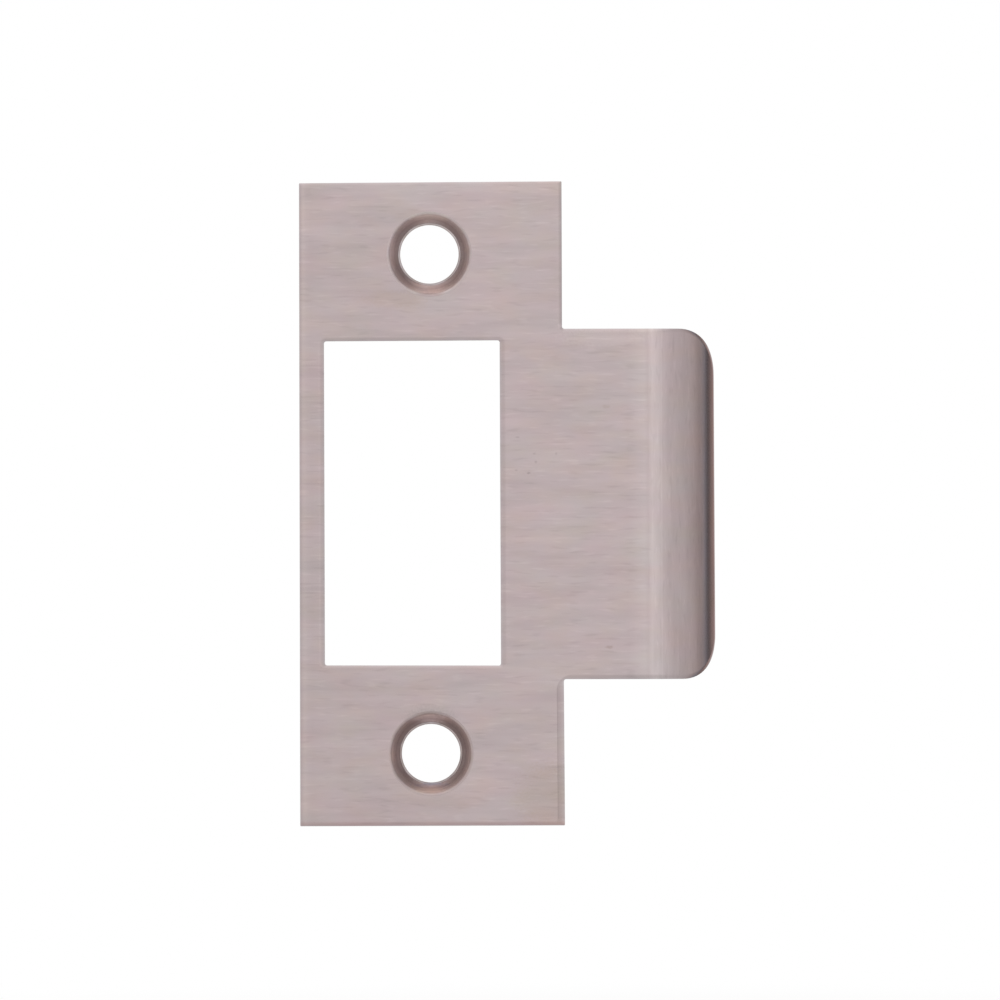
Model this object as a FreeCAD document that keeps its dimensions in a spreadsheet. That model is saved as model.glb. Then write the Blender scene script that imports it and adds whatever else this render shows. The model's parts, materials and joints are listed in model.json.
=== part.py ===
"""T-shaped door strike plate, stamped and bent from one sheet of steel. All lengths are in millimetres.

Frame: the plate stands upright as it is screwed to a door frame. Z is up, X points from the plate
towards its lip, and -Y points out of the frame at the viewer. The back face lies on y = 0, and the origin
is the point midway between the two screw holes, in the plane of the back face.
"""

import FreeCAD, Part
import enum
import os
import Sketcher

NODE = "strike_plate"

# The driving sizes: alias, value, what it measures. Angles are in degrees.
SIZES = [
    ("plate_height", 69.85, "plate, top to bottom"),
    ("plate_width", 28.575, "plate, side to side, without the lip"),
    ("sheet_thickness", 1.6, "the sheet that everything is stamped from"),
    ("window_height", 35.2, "latch window, top to bottom"),
    ("window_width", 19.1, "latch window, side to side"),
    ("window_rail", 2.7, "metal left between the window and the plate's left edge"),
    ("window_corner_radius", 0.35, "worn punch corners of the window"),
    ("screw_setback", 7.925, "from the plate's top or bottom edge to the centre of a screw hole"),
    ("screw_bore", 6.35, "diameter of a screw hole at the back"),
    ("screw_shoulder", 0.2, "flat step between the bore and its countersink"),
    ("screw_land", 0.4, "length of the straight bore behind the countersink"),
    ("countersink_mouth", 8.85, "diameter of a countersink at the front face"),
    ("lip_width", 38.0, "lip, top to bottom"),
    ("lip_flat", 9.77, "flat part of the lip, from the plate's edge to the bend"),
    ("lip_corner_radius", 4.7, "rounded free corners of the lip"),
    ("bend_radius", 8.5, "outside radius of the bend, on the front face"),
    ("bend_angle", 55.0, "how far the lip turns back"),
    ("notch_radius", 0.35, "inner corners where the lip leaves the plate"),
    ("edge_radius", 0.35, "rounding that the punch leaves on the front edges"),
]

# The rolled edge stays within this share of the sheet's thickness.
ROLL_SHARE = 0.45
# Two directions or places nearer than this count as the same.
SAME = 1e-4
# A feature that changes the volume by less than this has missed the solid.
LEAST_CHANGE = 1e-3
# The place of a side or point that lies on a sketch's own axis.
ON_AXIS = "0"


class LineEnd(enum.IntEnum):
    """The sketcher's own numbers for the two ends of a line."""

    START = 1
    END = 2


class Axis(enum.IntEnum):
    """The sketcher's own numbers for the two axes of a sketch."""

    LEVEL = -1
    UPRIGHT = -2


# A sketch's origin is the start of its level axis.
ORIGIN_POINT = (Axis.LEVEL, LineEnd.START)


def make_sheet(doc):
    """The spreadsheet of driving sizes, one row each: name, value, meaning."""
    sheet = doc.addObject("Spreadsheet::Sheet", "Sizes")
    for row, (alias, value, meaning) in enumerate(SIZES, start=1):
        sheet.set(f"A{row}", alias)
        sheet.set(f"B{row}", str(value))
        sheet.set(f"C{row}", meaning)
        sheet.setAlias(f"B{row}", alias)
    doc.recompute()
    return sheet


def origin_plane(body, role):
    """One of the body's own origin planes, by its role."""
    return next(plane for plane in body.Origin.OriginFeatures if plane.Role == role)


def new_sketch(body, name, role):
    """An empty sketch on one of the body's origin planes."""
    sketch = body.newObject("Sketcher::SketchObject", name)
    sketch.AttachmentSupport = (origin_plane(body, role), [""])
    sketch.MapMode = "FlatFace"
    return sketch


def worked_out(sketch, expression):
    """The number that an expression on the sheet gives now."""
    return float(sketch.evalExpression(expression))


def bind(sketch, name, constraint, expression):
    """Adds a dimension to the sketch, named and driven by an expression on the sheet."""
    index = sketch.addConstraint(constraint)
    sketch.renameConstraint(index, name)
    sketch.setExpression(f"Constraints.{name}", expression)


def place_start(sketch, name, line, axis, expression):
    """Fixes the start of a line at an x or a y from the sketch's origin, given by an expression."""
    if expression == ON_AXIS:
        on = Axis.UPRIGHT if axis == "x" else Axis.LEVEL
        sketch.addConstraint(Sketcher.Constraint("PointOnObject", line, LineEnd.START, on))
        return
    kind = "DistanceX" if axis == "x" else "DistanceY"
    distance = Sketcher.Constraint(kind, *ORIGIN_POINT, line, LineEnd.START, worked_out(sketch, expression))
    bind(sketch, name, distance, expression)


def round_corner(sketch, name, lines, corner, travel, expression):
    """Joins two lines that stop short of their corner with a tangent arc of the radius that is asked for."""
    radius = worked_out(sketch, expression)
    first = corner - travel[0] * radius
    last = corner + travel[1] * radius
    centre = first + travel[1] * radius
    turns_left = travel[0].cross(travel[1]).z > 0
    circle = Part.Circle(centre, FreeCAD.Vector(0, 0, 1), radius)
    begin, finish = (first, last) if turns_left else (last, first)
    arc_shape = Part.ArcOfCircle(circle, circle.parameter(begin), circle.parameter(finish))
    arc = sketch.addGeometry(arc_shape, False)
    near, far = (LineEnd.START, LineEnd.END) if turns_left else (LineEnd.END, LineEnd.START)
    sketch.addConstraint(Sketcher.Constraint("Tangent", lines[0], LineEnd.END, arc, near))
    sketch.addConstraint(Sketcher.Constraint("Tangent", arc, far, lines[1], LineEnd.START))
    bind(sketch, f"{name}_corner", Sketcher.Constraint("Radius", arc, radius), expression)


def square_outline(sketch, sides, rounded):
    """A closed outline of level and upright sides, each at a place given by an expression.

    sides is a list of (name, "x" or "y", expression) in order round the outline: an "x" side is the upright
    line at that x. rounded maps the name of a side to the radius of the corner at that side's far end.
    """
    count = len(sides)
    corners = []
    for k, side in enumerate(sides):
        following = sides[(k + 1) % count]
        place = {axis: worked_out(sketch, expression) for _, axis, expression in (side, following)}
        corners.append(FreeCAD.Vector(place["x"], place["y"], 0))
    travel = [(corners[k] - corners[k - 1]).normalize() for k in range(count)]
    radii = [worked_out(sketch, rounded.get(name, ON_AXIS)) for name, _, _ in sides]
    lines = []
    for k, (name, axis, expression) in enumerate(sides):
        begin = corners[k - 1] + travel[k] * radii[k - 1]
        finish = corners[k] - travel[k] * radii[k]
        line = sketch.addGeometry(Part.LineSegment(begin, finish), False)
        sketch.addConstraint(Sketcher.Constraint("Vertical" if axis == "x" else "Horizontal", line))
        place_start(sketch, name, line, axis, expression)
        lines.append(line)
    for k, (name, _, _) in enumerate(sides):
        following = (k + 1) % count
        side, next_side = lines[k], lines[following]
        if name in rounded:
            turn = (travel[k], travel[following])
            round_corner(sketch, name, (side, next_side), corners[k], turn, rounded[name])
        else:
            meeting = Sketcher.Constraint("Coincident", side, LineEnd.END, next_side, LineEnd.START)
            sketch.addConstraint(meeting)


def add_plate(body):
    """The flat T: the plate and the flat part of its lip, one sheet thick, in front of y = 0."""
    sketch = new_sketch(body, "plate_outline", "XZ_Plane")
    sides = [
        ("plate_left", "x", "-Sizes.plate_width / 2"),
        ("plate_bottom", "y", "-Sizes.plate_height / 2"),
        ("plate_right_below", "x", "Sizes.plate_width / 2"),
        ("lip_bottom", "y", "-Sizes.lip_width / 2"),
        ("bend_start", "x", "Sizes.plate_width / 2 + Sizes.lip_flat"),
        ("lip_top", "y", "Sizes.lip_width / 2"),
        ("plate_right_above", "x", "Sizes.plate_width / 2"),
        ("plate_top", "y", "Sizes.plate_height / 2"),
    ]
    notches = {"plate_right_below": "Sizes.notch_radius", "lip_top": "Sizes.notch_radius"}
    square_outline(sketch, sides, notches)
    pad = body.newObject("PartDesign::Pad", "flat_sheet")
    pad.Profile = sketch
    pad.setExpression("Length", "Sizes.sheet_thickness")
    return pad


def add_bend(body):
    """The curved end of the lip: the sheet's section turned about the axis of the bend."""
    sketch = new_sketch(body, "bend_section", "YZ_Plane")
    sketch.setExpression("AttachmentOffset.Base.z", "Sizes.plate_width / 2 + Sizes.lip_flat")
    sides = [
        ("front_face", "x", "-Sizes.sheet_thickness"),
        ("lip_bottom", "y", "-Sizes.lip_width / 2"),
        ("back_face", "x", ON_AXIS),
        ("lip_top", "y", "Sizes.lip_width / 2"),
    ]
    square_outline(sketch, sides, {})
    centre = "Sizes.bend_radius - Sizes.sheet_thickness"
    foot = FreeCAD.Vector(worked_out(sketch, centre), 0, 0)
    tip = foot + FreeCAD.Vector(0, worked_out(sketch, "Sizes.lip_width / 2"), 0)
    axis = sketch.addGeometry(Part.LineSegment(foot, tip), True)
    sketch.addConstraint(Sketcher.Constraint("Vertical", axis))
    place_start(sketch, "bend_centre", axis, "x", centre)
    place_start(sketch, "bend_axis_foot", axis, "y", ON_AXIS)
    bend = body.newObject("PartDesign::Revolution", "lip_bend")
    bend.Profile = sketch
    bend.ReferenceAxis = (sketch, ["Axis0"])
    bend.setExpression("Angle", "Sizes.bend_angle")
    return bend


def add_window(body):
    """The latch window, punched right through the plate."""
    sketch = new_sketch(body, "window_outline", "XZ_Plane")
    left = "-Sizes.plate_width / 2 + Sizes.window_rail"
    sides = [
        ("window_left", "x", left),
        ("window_bottom", "y", "-Sizes.window_height / 2"),
        ("window_right", "x", f"{left} + Sizes.window_width"),
        ("window_top", "y", "Sizes.window_height / 2"),
    ]
    square_outline(sketch, sides, {name: "Sizes.window_corner_radius" for name, _, _ in sides})
    pocket = body.newObject("PartDesign::Pocket", "latch_window")
    pocket.Profile = sketch
    pocket.SideType = "Symmetric"
    pocket.Type = "ThroughAll"
    return pocket


def add_lip_corner(body, size):
    """Rounds the upper free corner of the lip, cut square to the sheet where the lip ends.

    The sketch lies across the sheet at the end of the bend: its x axis runs along the sheet and out of the
    lip, and its y axis runs up the lip's end.
    """
    sketch = new_sketch(body, "lip_corner_outline", "XZ_Plane")
    turn = FreeCAD.Rotation(FreeCAD.Vector(0, 1, 0), size["bend_angle"])
    sketch.AttachmentOffset = FreeCAD.Placement(FreeCAD.Vector(), turn)
    swing = "Sizes.bend_angle * 1 deg"
    end_across = f"Sizes.plate_width / 2 + Sizes.lip_flat + Sizes.bend_radius * sin({swing})"
    end_forward = f"Sizes.bend_radius * cos({swing}) - Sizes.bend_radius + Sizes.sheet_thickness"
    sketch.setExpression("AttachmentOffset.Base.x", end_across)
    sketch.setExpression("AttachmentOffset.Base.z", end_forward)
    sketch.setExpression("AttachmentOffset.Rotation.Angle", swing)
    lip_top = "Sizes.lip_width / 2"
    beyond = "Sizes.sheet_thickness"
    reach = f"Sizes.lip_corner_radius + {beyond}"
    sides = [
        ("lip_end", "x", ON_AXIS),
        ("lip_top", "y", lip_top),
        ("inner_side", "x", f"-({reach})"),
        ("outer_top", "y", f"{lip_top} + {beyond}"),
        ("outer_side", "x", beyond),
        ("foot", "y", f"{lip_top} - ({reach})"),
    ]
    square_outline(sketch, sides, {"lip_end": "Sizes.lip_corner_radius"})
    pocket = body.newObject("PartDesign::Pocket", "upper_lip_corner")
    pocket.Profile = sketch
    pocket.SideType = "Symmetric"
    pocket.Type = "ThroughAll"
    return pocket


def edge_names(shape, chosen):
    """The names of the chosen edges in the shape."""
    names = []
    for index, edge in enumerate(shape.Edges, start=1):
        if any(edge.isSame(other) for other in chosen):
            names.append(f"Edge{index}")
    return names


def is_front_skin(face, size):
    """Whether a face is part of the visible front: the flat face, or the outside of the bend."""
    surface = face.Surface
    if isinstance(surface, Part.Plane):
        return (face.normalAt(0, 0) - FreeCAD.Vector(0, -1, 0)).Length < SAME
    if isinstance(surface, Part.Cylinder):
        upright = surface.Axis.cross(FreeCAD.Vector(0, 0, 1)).Length < SAME
        return upright and abs(surface.Radius - size["bend_radius"]) < SAME
    return False


def add_edge_roll(body, size):
    """Rounds every front edge, outside and in the window, as the punch draws the sheet over."""
    base = body.Tip
    skin = [face for face in base.Shape.Faces if is_front_skin(face, size)]
    edges = [edge for face in skin for edge in face.Edges]
    rim = [edge for edge in edges if sum(edge.isSame(other) for other in edges) == 1]
    fillet = body.newObject("PartDesign::Fillet", "edge_roll")
    fillet.Base = (base, edge_names(base.Shape, rim))
    fillet.setExpression("Radius", f"min(Sizes.edge_radius; Sizes.sheet_thickness * {ROLL_SHARE})")
    return fillet


def add_screw_hole(body):
    """The upper screw hole: bore, shoulder and countersink turned from one section about its axis."""
    sketch = new_sketch(body, "screw_hole_section", "YZ_Plane")
    axis_height = "Sizes.plate_height / 2 - Sizes.screw_setback"
    bore = f"{axis_height} + Sizes.screw_bore / 2"
    front = "-Sizes.sheet_thickness"
    land = "-Sizes.screw_land"
    points = [
        ("front_axis", front, axis_height),
        ("mouth", front, f"{axis_height} + Sizes.countersink_mouth / 2"),
        ("cone_foot", land, f"{bore} + Sizes.screw_shoulder"),
        ("bore_front", land, bore),
        ("bore_back", ON_AXIS, bore),
        ("back_axis", ON_AXIS, axis_height),
    ]
    corners = [
        FreeCAD.Vector(worked_out(sketch, across), worked_out(sketch, up), 0) for _, across, up in points
    ]
    count = len(points)
    lines = []
    for k, (name, across, up) in enumerate(points):
        line = sketch.addGeometry(Part.LineSegment(corners[k], corners[(k + 1) % count]), False)
        place_start(sketch, f"{name}_depth", line, "x", across)
        place_start(sketch, f"{name}_height", line, "y", up)
        lines.append(line)
    for k, line in enumerate(lines):
        following = lines[(k + 1) % count]
        sketch.addConstraint(Sketcher.Constraint("Coincident", line, LineEnd.END, following, LineEnd.START))
    axis = sketch.addGeometry(Part.LineSegment(corners[-1], corners[0]), True)
    sketch.addConstraint(Sketcher.Constraint("Coincident", axis, LineEnd.START, lines[-1], LineEnd.START))
    sketch.addConstraint(Sketcher.Constraint("Coincident", axis, LineEnd.END, lines[0], LineEnd.START))
    groove = body.newObject("PartDesign::Groove", "upper_screw_hole")
    groove.Profile = sketch
    groove.ReferenceAxis = (sketch, ["Axis0"])
    groove.Angle = 360
    return groove


def add_mirrored(body, upper, name):
    """The lower one of a pair, the same as the upper one across the plate's middle."""
    mirrored = body.newObject("PartDesign::Mirrored", name)
    mirrored.Originals = [upper]
    mirrored.MirrorPlane = (origin_plane(body, "XY_Plane"), [""])
    body.Tip = mirrored
    return mirrored


def settle(doc, body, feature, volume_before, adds):
    """Recomputes, and stops if the feature failed or left the solid as it was."""
    doc.recompute()
    for thing in doc.Objects:
        if "Invalid" in thing.State or "Error" in thing.State:
            raise RuntimeError(f"{thing.Name} failed: {thing.State}")
    shape = body.Shape
    if shape.isNull() or not shape.isValid() or len(shape.Solids) != 1:
        raise RuntimeError(f"{feature.Name} left no valid single solid")
    change = shape.Volume - volume_before
    if (change if adds else -change) < LEAST_CHANGE:
        raise RuntimeError(f"{feature.Name} changed the volume by {change} mm3, the wrong way or not at all")
    print(f"{feature.Name}: {shape.Volume:.2f} mm3, {len(shape.Faces)} faces")
    return shape.Volume


def check_bend(body, size):
    """Stops if the lip turns towards the viewer instead of back behind the plate."""
    if body.Shape.BoundBox.YMin < -size["sheet_thickness"] - SAME:
        raise RuntimeError("the lip turns towards the viewer")


def build():
    """Builds the strike plate feature by feature, and returns its body."""
    doc = FreeCAD.newDocument("strike_plate_model")
    sheet = make_sheet(doc)
    size = {alias: float(sheet.get(alias)) for alias, _, _ in SIZES}
    body = doc.addObject("PartDesign::Body", NODE)
    body.Label = NODE
    body.Placement = FreeCAD.Placement()
    volume = settle(doc, body, add_plate(body), 0, adds=True)
    volume = settle(doc, body, add_bend(body), volume, adds=True)
    check_bend(body, size)
    volume = settle(doc, body, add_window(body), volume, adds=False)
    corner = add_lip_corner(body, size)
    volume = settle(doc, body, corner, volume, adds=False)
    volume = settle(doc, body, add_mirrored(body, corner, "lower_lip_corner"), volume, adds=False)
    volume = settle(doc, body, add_edge_roll(body, size), volume, adds=False)
    hole = add_screw_hole(body)
    volume = settle(doc, body, hole, volume, adds=False)
    settle(doc, body, add_mirrored(body, hole, "lower_screw_hole"), volume, adds=False)
    return body


def main():
    body = build()
    box = body.Shape.optimalBoundingBox()
    print(f"x {box.XMin:.3f} to {box.XMax:.3f}")
    print(f"y {box.YMin:.3f} to {box.YMax:.3f}")
    print(f"z {box.ZMin:.3f} to {box.ZMax:.3f}")
    os.makedirs("parts", exist_ok=True)
    body.Shape.exportStep(f"parts/{body.Label}.step")


main()
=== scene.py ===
# %% [markdown]
# The object is the strike plate of a door: the small metal plate that is screwed to the door frame, with an
# opening for the latch and a curved lip that guides the latch in. It is one piece of sheet steel, punched
# out, countersunk, bent and then brushed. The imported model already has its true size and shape. This lesson
# dresses it: it makes the sheet again as one fine skin with punched edges, gives the skin the finish of
# brushed, slightly warm metal, and lights it as small metal parts are photographed, inside a light tent.

import json
import bpy
import numpy as np
from mathutils import Matrix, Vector
from mathutils.geometry import delaunay_2d_cdt


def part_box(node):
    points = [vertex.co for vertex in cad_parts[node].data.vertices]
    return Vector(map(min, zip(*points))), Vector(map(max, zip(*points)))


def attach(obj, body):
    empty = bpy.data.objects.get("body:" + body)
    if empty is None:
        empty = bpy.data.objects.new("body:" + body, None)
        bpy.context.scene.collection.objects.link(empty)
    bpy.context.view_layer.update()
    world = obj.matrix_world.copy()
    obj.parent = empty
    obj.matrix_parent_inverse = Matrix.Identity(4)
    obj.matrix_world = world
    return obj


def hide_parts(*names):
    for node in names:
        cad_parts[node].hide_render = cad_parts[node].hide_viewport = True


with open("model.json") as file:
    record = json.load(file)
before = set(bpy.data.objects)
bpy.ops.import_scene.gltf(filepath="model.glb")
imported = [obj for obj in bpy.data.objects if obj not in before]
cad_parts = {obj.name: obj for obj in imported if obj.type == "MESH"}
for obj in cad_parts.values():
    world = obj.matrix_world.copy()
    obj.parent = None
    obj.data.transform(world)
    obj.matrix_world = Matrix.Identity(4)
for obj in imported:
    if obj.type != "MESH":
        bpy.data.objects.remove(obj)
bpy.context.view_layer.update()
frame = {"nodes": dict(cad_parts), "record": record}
MM = 0.001
NODE = "strike_plate"
node_low, node_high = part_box(NODE)
print("nodes:", sorted(frame["nodes"]))

# %% [markdown]
# A sheet metal part is easiest to think of as its blank, the flat piece before it is bent. Every point of
# the sheet has three blank coordinates: u across the plate and out along the lip, v up the plate, and w
# down into the sheet from the front face. The sizes below are in millimetres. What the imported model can
# tell is read from it, and the rest are the driving sizes of the part.

# %% Sizes of the sheet
mounts = {mount["name"]: mount for mount in frame["record"]["mounts"]}
holes = mounts["screw_holes"]["dims"]
window_centre = mounts["latch_opening"]["pos_m"]
PLATE_LEFT = node_low[0] / MM
PLATE_TOP = node_high[2] / MM
THICKNESS = -node_low[1] / MM
HOLE_OFF_CENTRE = 0.08
HOLE_ASIDE = -HOLE_OFF_CENTRE
HOLE_HEIGHT = holes["spacing_y_mm"] / 2 + HOLE_OFF_CENTRE
BORE_RADIUS = holes["hole_r_mm"]
MOUTH_RADIUS = 4.425
SHOULDER = 0.2
LAND = 0.4
WINDOW_MIDDLE = window_centre[0] / MM
WINDOW_HALF_WIDTH = 9.55
WINDOW_HALF_HEIGHT = 17.6
LIP_HALF_WIDTH = 19.0
BEND_RADIUS = 8.5
BEND_ANGLE = np.radians(55)
LIP_FLAT = 9.77
BEND_START = -PLATE_LEFT + LIP_FLAT
LIP_END = BEND_START + BEND_RADIUS * BEND_ANGLE
print(f"sheet {THICKNESS:.2f} mm thick, blank from u = {PLATE_LEFT:.2f} to {LIP_END:.2f} mm")

# %% [markdown]
# The bend is one formula. Up to the start of the bend the sheet is flat. Past it, the distance along the
# front face is an arc about the bend's axis, so a point's angle is its distance past the start divided by
# the radius, and a point deeper in the sheet lies on a smaller radius. The same turn carries the normals.
# The other way would be a bend modifier, which would also stretch the flat parts a little.


# %% Bend the blank
def bent(points):
    """Blank coordinates (u, v, w) to the part's frame (x, y, z), in mm.

    With a = (u - start) / R past the start and 0 before it: x = min(u, start) + (R - w) sin a,
    y = R - thickness - (R - w) cos a, z = v.
    """
    u, v, w = points.T
    angle = np.maximum(u - BEND_START, 0) / BEND_RADIUS
    inner = BEND_RADIUS - w
    x = np.minimum(u, BEND_START) + inner * np.sin(angle)
    y = BEND_RADIUS - THICKNESS - inner * np.cos(angle)
    return np.column_stack([x, y, v])


def bent_normals(points, normals):
    """Normals in blank directions, turned with the sheet: (nu, nv, nw) to the part's frame."""
    angle = np.maximum(points[:, 0] - BEND_START, 0) / BEND_RADIUS
    across, up, down = normals.T
    x = across * np.cos(angle) - down * np.sin(angle)
    y = across * np.sin(angle) + down * np.cos(angle)
    return np.column_stack([x, y, up])


end_of_lip = bent(np.array([[LIP_END, 0, 0]]))[0]
print("the lip's front edge ends at x, y =", end_of_lip[:2].round(3))

# %% [markdown]
# A punch leaves its own mark on every edge. On the side where it goes in, the sheet is drawn over into a
# shallow roll. Below that the cut wall is bright and straight, then torn and slightly set back, and at the
# far side a thin burr is left, which tumbling rounds off. All of that is one profile, carried round the
# outline. The roll has its own width, depth and power on every side: with a power of 2 it curves over
# softly, and with a power near 1 it is a plain bevel with a crease, as on the lower right of this plate.

# %% The profile of a punched edge
ROLL_STEPS = 8
BACK_STEPS = 3
TEAR_START = 0.45
TEAR_SETBACK = 0.05
BACK_ROUND = 0.09
# Where the wall has a level, as shares of its height, and how far it is set back there.
WALL_SHARES = np.array([0.2, TEAR_START, TEAR_START + 0.06, 0.75])
WALL_SETBACKS = [0, 0, TEAR_SETBACK, TEAR_SETBACK]


def punched_profile():
    """The levels of the profile, from the front face over the roll and down the wall to the back face.

    On the roll, for q from 0 to 1: inset = width (1 - q), depth = roll depth q^power. The wall goes
    straight down, with a set-back from the share TEAR_START on. The back edge is a quarter circle.
    """
    q = np.linspace(0, 1, ROLL_STEPS + 1)
    back = np.linspace(0, np.pi / 2, BACK_STEPS + 1)
    foot = THICKNESS - BACK_ROUND
    wall = foot * WALL_SHARES
    parts = {
        "rim": [q, 1 + 0 * wall, 1 + 0 * back],
        "set back": [0 * q, WALL_SETBACKS, TEAR_SETBACK + BACK_ROUND * (1 - np.cos(back))],
        "under roll": [0 * q, 1 - WALL_SHARES, 0 * back],
        "depth": [0 * q, wall, foot + BACK_ROUND * np.sin(back)],
        "out": [0 * q, 1 + 0 * wall, np.cos(back)],
        "front": [0 * q, 0 * wall, -np.sin(back)],
    }
    return {name: np.concatenate(pieces) for name, pieces in parts.items()}


profile = punched_profile()
on_roll = (np.arange(len(profile["rim"])) <= ROLL_STEPS)[:, None]
print(len(profile["rim"]), "levels from the front face to the back")

# %% [markdown]
# The outline is straight sides joined by small arcs. At each level of the profile every side moves into the
# metal by its own inset, two neighbouring sides meet where their moved lines cross, and the arc there gets
# the radius of that level. Because every level has the same number of points, the levels join into one
# grid: the edge is a surface of two parameters, the place along the outline and the level.


# %% Carry the profile round an outline
SIDE_BOW = 0.004
CREASE = 0.04


def normals_of(directions):
    """The left normals of directions in the plane."""
    return np.stack([-directions[:, 1], directions[:, 0]], axis=1)


def rolled_levels(flat, outward, width, depth, power):
    """Depth and normals for points that are already placed in the plane, by the punched profile.

    On the roll: depth = d q^p, and the normal leans outwards by the slope p d / w q^(p - 1).
    """
    q = profile["rim"][:, None]
    sunk = np.where(on_roll, depth * q**power, profile["under roll"][:, None] * depth)
    below = sunk + profile["depth"][:, None]
    slope = power * depth / width * np.maximum(q, CREASE) ** (power - 1)
    out = np.where(on_roll, slope, profile["out"][:, None])
    front = np.where(on_roll, 1.0, profile["front"][:, None])
    size = np.hypot(out, front)
    normals = np.concatenate([outward * (out / size)[..., None], -(front / size)[..., None]], axis=2)
    return np.concatenate([flat, below[..., None]], axis=2), normals


def punched_edge(corners, radii, growth, widths, depths, powers, counts, arc_points):
    """The grid of a punched edge round an outline, with the metal on the left of its direction.

    A point on side k at level l is n_k . p = n_k . corner_k + inset, where n_k is the side's left normal.
    A corner is the p that solves this for both of its sides, and its arc has the radius r + g inset: g is
    1 where the metal turns inwards, -1 on a large free corner, and between on a worn one. Each side
    bows outwards by 4 b s (1 - s), because no sheared side is dead straight.
    """
    count = len(corners)
    along = np.roll(corners, -1, axis=0) - corners
    along = along / np.linalg.norm(along, axis=1)[:, None]
    left = normals_of(along)
    before = np.roll(np.arange(count), 1)
    inset = (1 - profile["rim"])[:, None] * widths + profile["set back"][:, None] + SIDE_BOW
    lines = np.stack([left[before], left], axis=1)
    reach = np.einsum("kij,kj->ki", lines, corners) + np.stack([inset[:, before], inset], axis=2)
    crossing = np.linalg.solve(lines[None], reach[..., None])[..., 0]
    level_radius = radii + growth * (inset[:, before] + inset) / 2
    cross = along[before, 0] * along[:, 1] - along[before, 1] * along[:, 0]
    dot = (along[before] * along).sum(axis=1)
    turn = np.abs(np.arctan2(cross, dot))
    side = np.sign(cross)
    tangent = level_radius * np.tan(turn / 2)
    first = crossing - along[before] * tangent[..., None]
    last = crossing + along * tangent[..., None]
    centre = first + (side * level_radius)[..., None] * left[before]
    share = np.linspace(0, 1, arc_points)
    shapes = np.stack([widths, depths, powers])
    places, outward, shape_at = [], [], []
    for k in range(count):
        swing = share * turn[k]
        inwards = side[k] * left[before[k]]
        toward = np.outer(np.sin(swing), along[before[k]]) - np.outer(np.cos(swing), inwards)
        places.append(centre[:, k, None] + level_radius[:, k, None, None] * toward)
        outward.append(side[k] * toward)
        old, new = shapes[:, before[k], None], shapes[:, k, None]
        shape_at.append(old + share * (new - old))
        steps = np.linspace(0, 1, counts[k] + 2)[1:-1]
        following = first[:, (k + 1) % count, None]
        bow = -4 * SIDE_BOW * np.outer(steps * (1 - steps), left[k])
        places.append(last[:, k, None] + (following - last[:, k, None]) * steps[None, :, None] + bow)
        outward.append(np.tile(-left[k], (counts[k], 1)))
        shape_at.append(np.repeat(new, counts[k], axis=1))
    flat = np.concatenate(places, axis=1)
    return rolled_levels(flat, np.concatenate(outward), *np.concatenate(shape_at, axis=1))


# %% [markdown]
# No punched plate is perfectly true. On this one the top left corner is cut an eighth of a millimetre low,
# and the lower right side flares out by as much and has a roll twice as wide as elsewhere, where the blank
# was trimmed. The offsets are small, but they are what the eye reads as a real stamping.

# %% The outer edge
SOFT_ROLL = (0.3, 0.06, 2.0)
WIDE_ROLL = (0.44, 0.1, 1.8)
TRIMMED_BEVEL = (0.78, 0.19, 0.65)
LIP_UNDERSIDE = (0.5, 0.13, 1.5)
LIP_TIP_ROLL = (0.5, 0.2, 2.0)
PLATE_CORNER, NOTCH_CORNER, LIP_CORNER_ABOVE, LIP_CORNER_BELOW = 0.1, 0.25, 5.1, 4.75
# Each corner: u, v, its offset from true, radius, how the radius grows inwards. Then the side that starts
# there: the width, depth and power of its roll, and the points along it.
outer_rows = [
    (PLATE_LEFT, -PLATE_TOP, 0.0, 0.0, PLATE_CORNER, 0.5, *WIDE_ROLL, 32),
    (-PLATE_LEFT, -PLATE_TOP, 0.14, 0.0, PLATE_CORNER, 0.5, *TRIMMED_BEVEL, 18),
    (-PLATE_LEFT, -LIP_HALF_WIDTH, 0.07, -0.07, NOTCH_CORNER, 2.2, *LIP_UNDERSIDE, 40),
    (LIP_END, -LIP_HALF_WIDTH, 0.05, -0.11, LIP_CORNER_BELOW, -1.0, *LIP_TIP_ROLL, 32),
    (LIP_END, LIP_HALF_WIDTH, -0.12, -0.09, LIP_CORNER_ABOVE, -1.0, *WIDE_ROLL, 40),
    (-PLATE_LEFT, LIP_HALF_WIDTH, 0.0, -0.06, NOTCH_CORNER, 1.3, *WIDE_ROLL, 18),
    (-PLATE_LEFT, PLATE_TOP, 0.0, 0.0, PLATE_CORNER, 0.5, *SOFT_ROLL, 32),
    (PLATE_LEFT, PLATE_TOP, 0.1, -0.11, PLATE_CORNER, 0.5, *SOFT_ROLL, 72),
]


def edge_from(rows, arc_points):
    """A punched edge from rows of corners and sides."""
    u, v, aside, above, radii, growth, widths, depths, powers, counts = np.array(rows).T
    corners = np.stack([u + aside, v + above], axis=1)
    return punched_edge(corners, radii, growth, widths, depths, powers, counts.astype(int), arc_points)


outer_edge = edge_from(outer_rows, arc_points=19)
print("outer edge:", outer_edge[0].shape[0], "levels of", outer_edge[0].shape[1], "places")

# %% [markdown]
# The latch window is a second outline, gone round the other way so that the metal is again on its left.

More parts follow.
